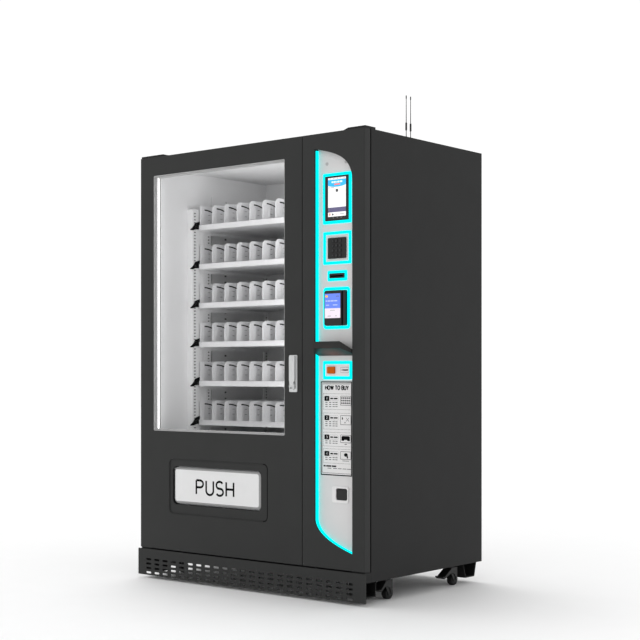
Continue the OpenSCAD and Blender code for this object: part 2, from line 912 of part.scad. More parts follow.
module tray(i) {
    z = tray_z0 + (trays - 1 - i) * tray_pitch;
    x1 = tray_x0 + lanes * lane_w;
    color([0.85, 0.85, 0.86]) {
        blk(tray_x0 - 2.5, x1 + 2.5, tray_s + 4.2, tray_s + tray_d, z, z + 3);
        for (k = [0:lanes - 1])
            blk(tray_x0 + 8 + k * lane_w, tray_x0 - 8 + (k + 1) * lane_w, tray_s + 12,
                tray_s + tray_d - 40, z + 2, z + 8);
        blk(tray_x0 - 2.5, x1 + 2.5, tray_s, tray_s + 4, z, z + rail_h);
        for (k = [0:lanes])
            divider(tray_x0 + k * lane_w, z, k == 0 ? 2 : 26);
        blk(tray_x0 - 2.5, x1 + 2.5, tray_s + tray_d - 15, tray_s + tray_d, z + 3.2, z + 70);
    }
}

// ---- casters ----

module caster_fork(sx, sc, pedal) {
    s = sc - trail;
    x = sx * caster_x;
    tip = sc - pedal;
    color([0.3, 0.3, 0.3]) {
        rod_z(24, x, s, under_z - 6, under_z - 0.5);
        rod_z(15, x, s, under_z - 16, under_z - 5);
        for (dx = [wheel_w / 2 + 1.5, -wheel_w / 2 - 4.5])
            difference() {
                side_slab(x + dx, x + dx + 3)
                    polygon([[s - 17, under_z - 14], [sc + 15, under_z - 14], [sc + 15, 50],
                        [sc + 9, 17], [sc - 9, 17], [s - 17, 60]]);
                rod_x(4 + fit, x - 30, x + 30, sc, wheel_r);
            }
        blk(x - wheel_w / 2 - 4.5, x + wheel_w / 2 + 4.5, s - 17, sc + 15, under_z - 17, under_z - 13);
    }
    color([0.03, 0.03, 0.03]) {
        side_slab(x - 21, x + 21)
            polygon([[s - 17.5, 79], [s - 21, 76], [tip + 10, 46], [tip, 51], [tip - 1, 46],
                [tip + 12, 38], [s - 17.5, 60]]);
        for (dx = [18, -21])
            side_slab(x + dx, x + dx + 3)
                polygon([[s - 18, 79], [s - 4, 78], [sc + 2, 58], [sc + 9, 36], [sc + 5, 20],
                    [sc, 24], [sc - 2, 38], [sc - 12, 52], [s - 18, 62]]);
    }
}

module caster_wheel(sx, sc) {
    x = sx * caster_x;
    color([0.15, 0.15, 0.15]) {
        rod_x(wheel_r, x - wheel_w / 2, x + wheel_w / 2, sc, wheel_r);
        rod_x(4, x - wheel_w / 2 - 4.4, x + wheel_w / 2 + 4.4, sc, wheel_r);
    }
}

cabinet_panels();
rear_panel();
base_beams();
kick_panel();
hinge_plates();
antennas();
inner_liner();
shelf_uprights();
tray_latches();
delivery_bin();
cooling_unit();
main_door_skin();
door_inner_panel();
window_glass();
window_frame();
door_lights();
delivery_surround();
lock_housing();
delivery_flap();
lock_spindle();
lock_lever();
control_door_skin();
fascia_plate();
light_guides();
touch_screen();
keypad_housing();
bill_slot();
card_terminal();
scanner_hood();
coin_panel();
instruction_plate();
coin_return_cup();
coin_button();
coin_return_flap();
key(0);  // key_1
key(1);  // key_2
key(2);  // key_3
key(3);  // key_4
key(4);  // key_5
key(5);  // key_6
key(6);  // key_7
key(7);  // key_8
key(8);  // key_9
key(9);  // key_10
key(10);  // key_11
key(11);  // key_12
tray(0);  // tray_1
tray(1);  // tray_2
tray(2);  // tray_3
tray(3);  // tray_4
tray(4);  // tray_5
tray(5);  // tray_6
caster_fork(-1, caster_s0, 80);  // caster_fork_fl
caster_fork(1, caster_s0, 80);  // caster_fork_fr
caster_fork(-1, caster_s1, 102);  // caster_fork_rl
caster_fork(1, caster_s1, 102);  // caster_fork_rr
caster_wheel(-1, caster_s0);  // caster_wheel_fl
caster_wheel(1, caster_s0);  // caster_wheel_fr
caster_wheel(-1, caster_s1);  // caster_wheel_rl
caster_wheel(1, caster_s1);  // caster_wheel_rr
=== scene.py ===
import json
import math

import bmesh
import bpy
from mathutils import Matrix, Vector

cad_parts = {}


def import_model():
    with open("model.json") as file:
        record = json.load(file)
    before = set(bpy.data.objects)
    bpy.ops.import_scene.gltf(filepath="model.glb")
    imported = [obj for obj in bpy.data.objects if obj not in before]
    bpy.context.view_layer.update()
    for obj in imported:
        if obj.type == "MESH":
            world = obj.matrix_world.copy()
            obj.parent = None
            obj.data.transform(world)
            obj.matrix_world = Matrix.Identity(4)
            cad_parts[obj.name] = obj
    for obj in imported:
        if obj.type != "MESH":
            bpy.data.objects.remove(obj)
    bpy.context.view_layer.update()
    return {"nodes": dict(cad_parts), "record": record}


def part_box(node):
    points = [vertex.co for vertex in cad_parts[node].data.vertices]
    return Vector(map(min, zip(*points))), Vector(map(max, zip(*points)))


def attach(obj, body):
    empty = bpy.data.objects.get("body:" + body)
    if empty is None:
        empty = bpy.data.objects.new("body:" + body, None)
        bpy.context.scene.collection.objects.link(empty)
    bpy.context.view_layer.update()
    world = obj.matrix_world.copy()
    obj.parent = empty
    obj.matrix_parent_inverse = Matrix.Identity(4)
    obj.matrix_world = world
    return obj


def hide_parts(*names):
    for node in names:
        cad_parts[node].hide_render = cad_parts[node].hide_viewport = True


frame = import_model()

# ---------------------------------------------------------------- frame and units

MM = 0.001
NODES = frame["nodes"]
FRONT_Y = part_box("main_door_skin")[0].y
OWNER = {n: b for b, ns in frame["record"]["behaviour"]["bodies"].items() for n in ns}
SLOT = {s["node"]: s["material_slot"] for s in frame["record"]["subparts"]}
SMOOTH_ANGLE = math.radians(32)


def at(x, s, z):
    """A point from x, distance behind the doors' front face and height, in millimetres."""
    return Vector((x * MM, FRONT_Y + s * MM, z * MM))


def limits(node):
    """A node's limits in millimetres: x0, x1, s0, s1, z0, z1."""
    low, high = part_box(node)
    return (low.x / MM, high.x / MM, (low.y - FRONT_Y) / MM, (high.y - FRONT_Y) / MM,
            low.z / MM, high.z / MM)


# ---------------------------------------------------------------- materials

def node_tree(name):
    """A new material with its nodes, its links and its main shader."""
    mat = bpy.data.materials.new(name)
    mat.use_nodes = True
    return mat, mat.node_tree.nodes, mat.node_tree.links, mat.node_tree.nodes["Principled BSDF"]


def noise_node(nodes, links, scale, detail=3.0, stretch=None):
    """A noise texture in the piece's own coordinates, stretched along an axis if asked."""
    coord = nodes.new("ShaderNodeTexCoord")
    noise = nodes.new("ShaderNodeTexNoise")
    noise.inputs["Scale"].default_value = scale
    noise.inputs["Detail"].default_value = detail
    source = coord.outputs["Object"]
    if stretch:
        mapping = nodes.new("ShaderNodeMapping")
        mapping.inputs["Scale"].default_value = stretch
        links.new(source, mapping.inputs["Vector"])
        source = mapping.outputs["Vector"]
    links.new(source, noise.inputs["Vector"])
    return noise


def remap(nodes, links, source, low, high):
    """A factor spread around the middle of a noise, remapped to low..high."""
    node = nodes.new("ShaderNodeMapRange")
    node.inputs["From Min"].default_value = 0.3
    node.inputs["From Max"].default_value = 0.7
    node.inputs["To Min"].default_value = low
    node.inputs["To Max"].default_value = high
    links.new(source, node.inputs["Value"])
    return node.outputs["Result"]


def shade(colour, factor):
    """A colour made lighter or darker, with full opacity."""
    return (*[min(c * factor, 1.0) for c in colour], 1.0)


ROUGH_SPAN = 0.05
COAT_ROUGH = 0.1
RELIEF_DEPTH = 0.2


def surface(name, colour, rough, tint=0.05, blotch=7.0, grain=900.0, bump=0.06, metallic=0.0, coat=0.0,
            stretch=None, specular=0.5):
    """A finish with soft colour variation, uneven gloss and a fine surface texture."""
    mat, nodes, links, bsdf = node_tree(name)
    bsdf.inputs["Metallic"].default_value = metallic
    bsdf.inputs["Coat Weight"].default_value = coat
    bsdf.inputs["Coat Roughness"].default_value = COAT_ROUGH
    bsdf.inputs["Specular IOR Level"].default_value = specular
    broad = noise_node(nodes, links, blotch, 4.0, stretch)
    mix = nodes.new("ShaderNodeMix")
    mix.data_type = "RGBA"
    mix.inputs["A"].default_value = shade(colour, 1 - tint)
    mix.inputs["B"].default_value = shade(colour, 1 + tint)
    links.new(remap(nodes, links, broad.outputs["Fac"], 0.0, 1.0), mix.inputs["Factor"])
    links.new(mix.outputs["Result"], bsdf.inputs["Base Color"])
    fine = noise_node(nodes, links, grain, 2.0, stretch)
    gloss = remap(nodes, links, fine.outputs["Fac"], rough - ROUGH_SPAN, rough + ROUGH_SPAN)
    links.new(gloss, bsdf.inputs["Roughness"])
    relief = nodes.new("ShaderNodeBump")
    relief.inputs["Strength"].default_value = bump
    relief.inputs["Distance"].default_value = RELIEF_DEPTH * MM
    links.new(fine.outputs["Fac"], relief.inputs["Height"])
    links.new(relief.outputs["Normal"], bsdf.inputs["Normal"])
    return mat


def lamp_surface(name, colour, strength, body=None, uneven=0.06, scale=30.0):
    """A lit plastic face, a little uneven in brightness."""
    mat, nodes, links, bsdf = node_tree(name)
    base = body or colour
    bsdf.inputs["Roughness"].default_value = 0.35
    noise = noise_node(nodes, links, scale, 2.0)
    mix = nodes.new("ShaderNodeMix")
    mix.data_type = "RGBA"
    mix.inputs["A"].default_value = shade(colour, 1 - uneven)
    mix.inputs["B"].default_value = shade(colour, 1 + uneven)
    links.new(remap(nodes, links, noise.outputs["Fac"], 0.0, 1.0), mix.inputs["Factor"])
    links.new(mix.outputs["Result"], bsdf.inputs["Emission Color"])
    bsdf.inputs["Emission Strength"].default_value = strength
    tone = nodes.new("ShaderNodeMix")
    tone.data_type = "RGBA"
    tone.inputs["A"].default_value = shade(base, 0.35)
    tone.inputs["B"].default_value = shade(base, 0.4)
    links.new(noise.outputs["Fac"], tone.inputs["Factor"])
    links.new(tone.outputs["Result"], bsdf.inputs["Base Color"])
    return mat


def glass_surface(name, alpha):
    """Clear glass: almost invisible, with a faint grey tone and soft reflections."""
    mat, nodes, links, bsdf = node_tree(name)
    bsdf.inputs["Alpha"].default_value = alpha
    bsdf.inputs["IOR"].default_value = 1.5
    bsdf.inputs["Specular IOR Level"].default_value = 0.08
    noise = noise_node(nodes, links, 14.0, 3.0)
    mix = nodes.new("ShaderNodeMix")
    mix.data_type = "RGBA"
    mix.inputs["A"].default_value = (0.1, 0.105, 0.105, 1)
    mix.inputs["B"].default_value = (0.12, 0.126, 0.126, 1)
    links.new(noise.outputs["Fac"], mix.inputs["Factor"])
    links.new(mix.outputs["Result"], bsdf.inputs["Base Color"])
    links.new(remap(nodes, links, noise.outputs["Fac"], 0.02, 0.06), bsdf.inputs["Roughness"])
    return mat


def hood_painted_glow_surface(name, centre, reach):
    """Dark plastic with a painted dim red glow around one point, standing in for the scanner's red light
    falling on it.
    """
    mat = surface(name, (0.021, 0.0205, 0.02), 0.45, tint=0.1, grain=1400, bump=0.08, specular=0.2)
    nodes, links = mat.node_tree.nodes, mat.node_tree.links
    coord = nodes.new("ShaderNodeTexCoord")
    mapping = nodes.new("ShaderNodeMapping")
    mapping.vector_type = "TEXTURE"
    mapping.inputs["Location"].default_value = centre
    mapping.inputs["Scale"].default_value = reach
    falloff = nodes.new("ShaderNodeTexGradient")
    falloff.gradient_type = "SPHERICAL"
    ramp = nodes.new("ShaderNodeMix")
    ramp.data_type = "RGBA"
    ramp.inputs["A"].default_value = (0, 0, 0, 1)
    ramp.inputs["B"].default_value = (0.09, 0.016, 0.01, 1)
    bsdf = nodes["Principled BSDF"]
    bsdf.inputs["Emission Strength"].default_value = 1.0
    links.new(coord.outputs["Object"], mapping.inputs["Vector"])
    links.new(mapping.outputs["Vector"], falloff.inputs["Vector"])
    links.new(falloff.outputs["Fac"], ramp.inputs["Factor"])
    links.new(ramp.outputs["Result"], bsdf.inputs["Emission Color"])
    return mat


HOOD = limits("scanner_hood")
# centre of the painted red glow on the hood's dark plastic
HOOD_LIGHT_Z = 1030
HOOD_LIGHT = at((HOOD[0] + HOOD[1]) / 2, -4, HOOD_LIGHT_Z)
MAT = {
    "door_paint": surface("door_paint", (0.0288, 0.0294, 0.0288), 0.6, tint=0.04, bump=0.1, specular=0.2),
    # body_paint is the doors' charcoal set about half as bright: a painted shade for the side panels turned
    # away from the light
    "body_paint": surface("body_paint", (0.0155, 0.0157, 0.0157), 0.6, tint=0.05, bump=0.12, specular=0.2),
    "beam_paint": surface("beam_paint", (0.009, 0.009, 0.009), 0.6, tint=0.08, bump=0.15, specular=0.25),
    "liner_white": surface("liner_white", (0.78, 0.78, 0.785), 0.5, tint=0.02, blotch=3.5, bump=0.08),
    "liner_grey": surface("liner_grey", (0.45, 0.455, 0.46), 0.4, tint=0.03, bump=0.08),
    "machine_grey": surface("machine_grey", (0.1, 0.1, 0.1), 0.45, tint=0.1, bump=0.15),
    "glazing": glass_surface("glazing", 0.02),
    "frame_white": surface("frame_white", (0.46, 0.46, 0.46), 0.35, tint=0.02),
    "lamp_white": lamp_surface("lamp_white", (1.0, 1.0, 1.0), 2.2, uneven=0.02),
    "black_plastic": surface("black_plastic", (0.009, 0.009, 0.009), 0.45, tint=0.15, grain=1400,
                             bump=0.1, specular=0.35),
    "dark_plastic": hood_painted_glow_surface("dark_plastic", HOOD_LIGHT, (0.07, 0.05, 0.05)),
    "lock_metal": surface("lock_metal", (0.6, 0.61, 0.61), 0.32, tint=0.05, blotch=40, grain=500,
                          bump=0.05, metallic=0.5, stretch=(9, 9, 1)),
    "flap_white": surface("flap_white", (0.77, 0.77, 0.77), 0.3, tint=0.015, coat=0.3, bump=0.02),
    "fascia_pale": surface("fascia_pale", (0.68, 0.668, 0.668), 0.4, tint=0.02, bump=0.04),
    "panel_pale": surface("panel_pale", (0.77, 0.755, 0.755), 0.4, tint=0.02, bump=0.04),
    "glow_cyan": lamp_surface("glow_cyan", (0.0006, 0.98, 0.98), 1.35, body=(0.0, 0.02, 0.02), uneven=0.03),
    "screen_black": surface("screen_black", (0.006, 0.006, 0.007), 0.2, tint=0.1, coat=0.2, bump=0.01,
                            specular=0.3),
    "button_orange": surface("button_orange", (0.6, 0.115, 0.006), 0.6, bump=0.03, specular=0.08),
    "key_black": surface("key_black", (0.02, 0.0205, 0.021), 0.5, tint=0.1, grain=1400, bump=0.05,
                         specular=0.2),
    "tray_white": surface("tray_white", (0.8, 0.8, 0.81), 0.4, tint=0.02, blotch=12, bump=0.05),
    "fork_steel": surface("fork_steel", (0.011, 0.011, 0.011), 0.45, tint=0.1, blotch=30, bump=0.1,
                          specular=0.35),
    "wheel_rubber": surface("wheel_rubber", (0.006, 0.006, 0.006), 0.55, tint=0.15, bump=0.1,
                            specular=0.25),
}
MAT["glow_cyan"].node_tree.nodes["Principled BSDF"].inputs["Specular IOR Level"].default_value = 0.0
# black for print, and also for the painted shadow line by the flap and the painted shade in the divider
# slots
BLACK_PRINT_AND_SHADE = surface("print_and_shade_black", (0.003, 0.003, 0.003), 0.6, tint=0.1, specular=0.06)
# grey for print, and also for the painted shade in the holes of the uprights
GREY_PRINT_AND_SHADE = surface("print_and_shade_grey", (0.09, 0.09, 0.09), 0.5, tint=0.1)
HUB_GREY = surface("hub_grey", (0.03, 0.03, 0.03), 0.5, tint=0.1)
FLAP_EDGE = surface("flap_edge", (0.36, 0.36, 0.36), 0.35, tint=0.03, bump=0.02)
LATCH_BLACK = surface("latch_black", (0.0015, 0.0015, 0.0015), 0.7, tint=0.1, specular=0.02)
MARK_GREY = surface("mark_grey", (0.25, 0.25, 0.255), 0.5, tint=0.04)
PLUG_GREY = surface("plug_grey", (0.42, 0.41, 0.41), 0.45, tint=0.04)
LEGEND = surface("key_legend", (0.075, 0.075, 0.078), 0.5, tint=0.06)
SCREEN = {
    "page": lamp_surface("screen_page", (0.82, 0.82, 0.82), 1.0, uneven=0.02),
    "sky": lamp_surface("screen_sky", (0.02, 0.42, 0.93), 1.0, uneven=0.06),
    "cloud": lamp_surface("screen_cloud", (0.75, 0.9, 1.0), 1.0),
    "orange": lamp_surface("screen_orange", (0.95, 0.16, 0.05), 1.0),
    "band": lamp_surface("screen_band", (0.095, 0.085, 0.175), 1.0),
    "mark": lamp_surface("screen_mark", (0.06, 0.06, 0.06), 1.0),
    "soft": lamp_surface("screen_soft", (0.3, 0.31, 0.3), 1.0),
    "leaf": lamp_surface("screen_leaf", (0.35, 0.62, 0.25), 1.0),
    "night": lamp_surface("screen_night", (0.004, 0.004, 0.004), 1.0),
    "violet": lamp_surface("screen_violet", (0.11, 0.2, 0.75), 1.0, uneven=0.12, scale=9.0),
    "haze": lamp_surface("screen_haze", (0.42, 0.5, 0.85), 1.0),
    "blush": lamp_surface("screen_blush", (0.72, 0.63, 0.72), 1.0),
    "amber": lamp_surface("screen_amber", (0.9, 0.42, 0.06), 1.0),
}


# ---------------------------------------------------------------- mesh tools

def mark_sharp(bm):
    """Shades faces smoothly, except across sharp edges."""
    for face in bm.faces:
        face.smooth = True
    for edge in bm.edges:
        edge.smooth = len(edge.link_faces) == 2 and edge.calc_face_angle(0.0) < SMOOTH_ANGLE


def make(name, bm, mat, body, bevel=0.0, segments=2, stands_for=(), clean=True):
    """Turns a bmesh into a piece that rides on a body, with its edges rounded."""
    if clean:
        bmesh.ops.remove_doubles(bm, verts=bm.verts, dist=0.002 * MM)
        bmesh.ops.recalc_face_normals(bm, faces=bm.faces)
    mark_sharp(bm)
    data = bpy.data.meshes.new(name)
    bm.to_mesh(data)
    bm.free()
    piece = bpy.data.objects.new(name, data)
    bpy.context.scene.collection.objects.link(piece)
    data.materials.append(MAT[mat] if isinstance(mat, str) else mat)
    if bevel:
        mod = piece.modifiers.new("edges", "BEVEL")
        mod.width = bevel * MM
        mod.segments = segments
        mod.limit_method = "ANGLE"
        mod.angle_limit = SMOOTH_ANGLE
        mod.harden_normals = True
    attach(piece, body)
    if stands_for:
        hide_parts(*stands_for)


def refine(node, bevel, segments=2, mat=None):
    """A copy of a CAD node with rounded edges, which takes its place."""
    bm = bmesh.new()
    bm.from_mesh(NODES[node].data)
    bmesh.ops.remove_doubles(bm, verts=bm.verts, dist=0.005 * MM)
    bmesh.ops.dissolve_limit(bm, angle_limit=math.radians(0.3), verts=bm.verts, edges=bm.edges)
    make(node + "_shell", bm, mat or SLOT[node], OWNER[node], bevel, segments, (node,),
         clean=False)


for node, obj in NODES.items():
    for slot in obj.material_slots:
        slot.material = MAT[SLOT[node]]

# bevel width in millimetres for the nodes kept in their designed shape
EDGES = {
    "main_door_skin": 0.8, "control_door_skin": 0.8, "cabinet_panels": 0.6, "kick_panel": 0.5,
    "base_beams": 1.0, "rear_panel": 0.5, "hinge_plates": 0.8, "antennas": 0.3, "inner_liner": 0.3,
    "shelf_uprights": 0.5, "tray_latches": 1.0, "delivery_bin": 0.4, "cooling_unit": 1.5,
    "door_inner_panel": 0.4, "window_frame": 0.5, "delivery_surround": 1.4, "lock_housing": 1.0,
    "lock_spindle": 0.5, "lock_lever": 0.8, "fascia_plate": 0.4, "light_guides": 0.6,
    "touch_screen": 0.8, "keypad_housing": 0.6, "bill_slot": 0.6, "card_terminal": 1.6,
    "scanner_hood": 1.6, "coin_panel": 0.5, "instruction_plate": 0.3, "coin_return_cup": 1.2,
    "coin_button": 1.2, "coin_return_flap": 0.6,
}
for node, width in EDGES.items():
    refine(node, width, mat=LATCH_BLACK if node == "tray_latches" else None)
KEY_SIGNS = "123456789*0#"
TRAYS = 6
for key in range(1, len(KEY_SIGNS) + 1):
    refine("key_%d" % key, 0.8, 3)
for tray in range(1, TRAYS + 1):
    refine("tray_%d" % tray, 0.4, 1)


# ---------------------------------------------------------------- shapes

def rounded(x0, x1, z0, z1, r=0.0, steps=6):
    """Outline of a rectangle with rounded corners, counter-clockwise."""
    if r <= 0:
        return [(x0, z0), (x1, z0), (x1, z1), (x0, z1)]
    corners = [(x1 - r, z0 + r, -90), (x1 - r, z1 - r, 0), (x0 + r, z1 - r, 90), (x0 + r, z0 + r, 180)]
    points = []
    for cx, cz, start in corners:
        for i in range(steps + 1):
            a = math.radians(start + 90 * i / steps)
            points.append((cx + r * math.cos(a), cz + r * math.sin(a)))
    return points


def arc(cx, cz, rx, rz, start, end, steps=8):
    """Points on an ellipse between two angles in degrees."""
    turns = [math.radians(start + (end - start) * i / steps) for i in range(steps + 1)]
    return [(cx + rx * math.cos(a), cz + rz * math.sin(a)) for a in turns]


def loft(bm, rings):
    """Skins a list of equal rings of points and closes both ends."""
    loops = [[bm.verts.new(p) for p in ring] for ring in rings]
    count = len(loops[0])
    for low, high in zip(loops, loops[1:]):
        for i in range(count):
            j = (i + 1) % count
            bm.faces.new((low[i], low[j], high[j], high[i]))
    bm.faces.new(loops[0])
    bm.faces.new(reversed(loops[-1]))


def prism(bm, outline, s0, s1):
    """A flat shape given thickness from s0 to s1."""
    loft(bm, [[at(x, s, z) for x, z in outline] for s in (s0, s1)])


def side_prism(bm, outline, x0, x1):
    """A flat shape drawn in depth and height, given thickness from x0 to x1."""
    loft(bm, [[at(x, s, z) for s, z in outline] for x in (x0, x1)])


def frame_prism(bm, outer, inner, s0, s1):
    """A closed border between two outlines with the same number of points."""
    sides = [[bm.verts.new(at(x, s, z)) for x, z in line] for line in (outer, inner) for s in (s0, s1)]
    count = len(outer)
    for i in range(count):
        j = (i + 1) % count
        for a, b in ((0, 1), (1, 3), (3, 2), (2, 0)):
            bm.faces.new((sides[a][i], sides[a][j], sides[b][j], sides[b][i]))


def border(bm, rect, width, s0, s1, r=0.0):
    """A band of even width inside the edge of a rectangle."""
    x0, x1, z0, z1 = rect
    outer_r = r if r > width else 0.0
    inner_r = max(outer_r - width, 0.0)
    inner = rounded(x0 + width, x1 - width, z0 + width, z1 - width, inner_r)
    frame_prism(bm, rounded(x0, x1, z0, z1, outer_r), inner, s0, s1)


def ribbon(bm, path, width, s0, s1):
    """A line of even width drawn along a path."""
    count = len(path)
    left, right = [], []
    for i, (x, z) in enumerate(path):
        ax, az = path[max(i - 1, 0)]
        bx, bz = path[min(i + 1, count - 1)]
        direction = Vector((bx - ax, bz - az)).normalized()
        before = Vector((x - ax, z - az)) if i else direction
        turn = max(abs(before.normalized().dot(direction)), 0.5)
        side = Vector((-direction.y, direction.x)) * (width / 2 / turn)
        left.append((x + side.x, z + side.y))
        right.append((x - side.x, z - side.y))
    for i in range(count - 1):
        quad = [left[i], left[i + 1], right[i + 1], right[i]]
        prism(bm, quad, s0, s1)


def lathe_x(bm, profile, s, z, segments=48):
    """A turned shape about an axis along x, from (x, radius) points; closed at both ends."""
    rings = []
    for x, r in profile:
        turns = [2 * math.pi * i / segments for i in range(segments)]
        rings.append([at(x, s + r * math.cos(a), z + r * math.sin(a)) for a in turns])
    loft(bm, rings)


def lathe_z(bm, profile, x, s, segments=40):
    """A turned shape about an upright axis, from (z, radius) points; closed at both ends."""
    rings = []
    for z, r in profile:
        turns = [2 * math.pi * i / segments for i in range(segments)]
        rings.append([at(x + r * math.cos(a), s + r * math.sin(a), z) for a in turns])
    loft(bm, rings)


PRINT = 0.12


def part_of(rect, fx0, fx1, top, bottom):
    """A rectangle inside another, from fractions of its width and of its height from the top."""
    x0, x1, z0, z1 = rect
    w, h = x1 - x0, z1 - z0
    return x0 + fx0 * w, x0 + fx1 * w, z1 - bottom * h, z1 - top * h


def printed(name, rects, s, mat, body, r=0.0):
    """Thin flat patches lying on a surface at s."""
    bm = bmesh.new()
    for rect in rects:
        prism(bm, rounded(*rect, r), s - PRINT, s)
    make(name, bm, mat, body)


def dashes(rect, dash, gap, thick):
    """Short marks set round the edge of a rectangle."""
    x0, x1, z0, z1 = rect
    marks = []
    pitch = dash + gap
    for i in range(int((x1 - x0) / pitch)):
        x = x0 + i * pitch
        marks += [(x, x + dash, z0, z0 + thick), (x, x + dash, z1 - thick, z1)]
    for i in range(int((z1 - z0) / pitch)):
        z = z0 + i * pitch
        marks += [(x0, x0 + thick, z + gap, z + pitch), (x1 - thick, x1, z + gap, z + pitch)]
    return marks


# ---------------------------------------------------------------- plain letters and numbers

def glyph(sign):
    """Centre lines of a sign on a grid one unit high."""
    bowl = [(0.0, 1.0), (0.32, 1.0)] + arc(0.32, 0.75, 0.26, 0.25, 80, -80) + [(0.32, 0.5), (0.0, 0.5)]
    shapes = {
        "P": [[(0, 0), (0, 1)], bowl],
        "U": [[(0, 1), (0, 0.3)] + arc(0.3, 0.3, 0.3, 0.3, 190, 350) + [(0.6, 0.3), (0.6, 1)]],
        "S": [arc(0.29, 0.74, 0.27, 0.26, 30, 240, 12) + arc(0.29, 0.26, 0.29, 0.26, 60, -150, 12)],
        "H": [[(0, 0), (0, 1)], [(0.6, 0), (0.6, 1)], [(0, 0.5), (0.6, 0.5)]],
        "O": [arc(0.35, 0.5, 0.35, 0.5, 90, 450, 24)],
        "W": [[(0, 1), (0.24, 0)], [(0.24, 0), (0.48, 1)], [(0.48, 1), (0.72, 0)], [(0.72, 0), (0.96, 1)]],
        "T": [[(0.3, 0), (0.3, 1)], [(0, 1), (0.6, 1)]],
        "B": [[(0, 0), (0, 1)], bowl,
              [(0, 0), (0.32, 0)] + arc(0.32, 0.25, 0.3, 0.25, -80, 80) + [(0.32, 0.5)]],
        "Y": [[(0, 1), (0.3, 0.48), (0.6, 1)], [(0.3, 0.48), (0.3, 0)]],
        "0": [arc(0.28, 0.5, 0.28, 0.5, 90, 450, 20)],
        "1": [[(0.12, 0.8), (0.34, 1), (0.34, 0)]],
        "2": [arc(0.28, 0.72, 0.27, 0.28, 160, -30, 10) + [(0.02, 0), (0.58, 0)]],
        "3": [arc(0.25, 0.75, 0.27, 0.25, 150, -80, 10), arc(0.25, 0.25, 0.3, 0.27, 85, -150, 10)],
        "4": [[(0.42, 0), (0.42, 1), (0, 0.3), (0.58, 0.3)]],
        "5": [[(0.52, 1), (0.08, 1), (0.05, 0.55)] + arc(0.26, 0.3, 0.28, 0.3, 110, -140, 10)],
        "6": [arc(0.28, 0.3, 0.27, 0.3, 0, 360, 18), arc(0.6, 0.35, 0.59, 0.68, 115, 180, 8)],
        "7": [[(0, 1), (0.56, 1), (0.2, 0)]],
        "8": [arc(0.28, 0.75, 0.23, 0.24, 0, 360, 16), arc(0.28, 0.26, 0.28, 0.26, 0, 360, 18)],
        "9": [arc(0.28, 0.7, 0.27, 0.3, 0, 360, 18), arc(-0.04, 0.65, 0.59, 0.68, -65, 0, 8)],
        "*": [[(0.1, 0.4), (0.5, 0.8)], [(0.1, 0.8), (0.5, 0.4)]],
        "#": [[(0.2, 0.15), (0.2, 0.85)], [(0.42, 0.15), (0.42, 0.85)], [(0, 0.37), (0.6, 0.37)],
              [(0, 0.63), (0.6, 0.63)]],
    }
    return shapes[sign]


LETTER_ADVANCE = 0.83
ADVANCE = {"W": 1.2, "O": 0.95, " ": 0.4}


def lettering(bm, word, x, z, height, width, s, depth=0.15, spread=1.0):
    """Draws a word from x on a base line at z."""
    for sign in word:
        for path in glyph(sign) if sign != " " else []:
            ribbon(bm, [(x + u * height * spread, z + v * height) for u, v in path], width, s - depth, s)
        x += ADVANCE.get(sign, LETTER_ADVANCE) * height * spread


# ---------------------------------------------------------------- delivery flap

FLAP_PIN = 13
FLAP_PIN_R = 3
FLAP_CORNER = 22
PAD_RISE = 7
PAD_BORDER = 10
WORD_HEIGHT = 62
WORD_STROKE = 9.8
# sizes of the painted shadow line down the right side of the flap's surround
SHADE_LINE_CORNER = 22
SHADE_LINE_INSET = 2
SHADE_LINE_WIDTH = 4.2


def flap_outline(rect, inset):
    """The rounded outline of the flap, drawn in by an inset."""
    x0, x1, z0, z1 = rect
    return rounded(x0 + inset, x1 - inset, z0 + inset, z1 - inset, FLAP_CORNER - inset, 10)


def delivery_flap():
    """The push-in flap: a body with its pins, a sloping grey border, a pale face and a word."""
    x0, x1, s0, s1, z0, z1 = limits("delivery_flap")
    rect = (x0 + FLAP_PIN, x1 - FLAP_PIN, z0, z1)
    base = s0 + PAD_RISE
    face = s0 - 0.3
    bm = bmesh.new()
    prism(bm, flap_outline(rect, 0), base, s1)
    lathe_x(bm, [(x0, FLAP_PIN_R), (x1, FLAP_PIN_R)], base + 4, z1 - 8, 24)
    make("flap_body", bm, FLAP_EDGE, "delivery_flap", 0.7, stands_for=("delivery_flap",))
    bm = bmesh.new()
    slope = ((base, 1.0), (base - 1.2, 1.2), (s0 + 1.2, PAD_BORDER - 1.2), (s0 + 0.3, PAD_BORDER))
    loft(bm, [[at(x, s, z) for x, z in flap_outline(rect, inset)] for s, inset in slope])
    make("flap_border", bm, FLAP_EDGE, "delivery_flap")
    bm = bmesh.new()
    prism(bm, flap_outline(rect, PAD_BORDER + 0.6), face, s0 + 0.5)
    make("flap_face", bm, "flap_white", "delivery_flap", bevel=0.25)
    bm = bmesh.new()
    start = part_of(rect, 0.27, 1, 0, 0.71)
    lettering(bm, "PUSH", start[0], start[2], WORD_HEIGHT, WORD_STROKE, face, spread=1.19)
    make("flap_word", bm, BLACK_PRINT_AND_SHADE, "delivery_flap")


def surround_painted_shade():
    """A painted shadow line down the right side of the flap's surround, where its edge falls in shade."""
    x0, x1, s0, s1, z0, z1 = limits("delivery_surround")
    x = x1 - SHADE_LINE_INSET - SHADE_LINE_CORNER
    r = SHADE_LINE_CORNER
    path = arc(x, z1 - SHADE_LINE_INSET - r, r, r, 100, 0) + arc(x, z0 + SHADE_LINE_INSET + r, r, r, 0, -100)
    bm = bmesh.new()
    ribbon(bm, path, SHADE_LINE_WIDTH, s0 - 0.2, s0 + 0.6)
    make("surround_painted_shade", bm, BLACK_PRINT_AND_SHADE, "main_door")


delivery_flap()
surround_painted_shade()


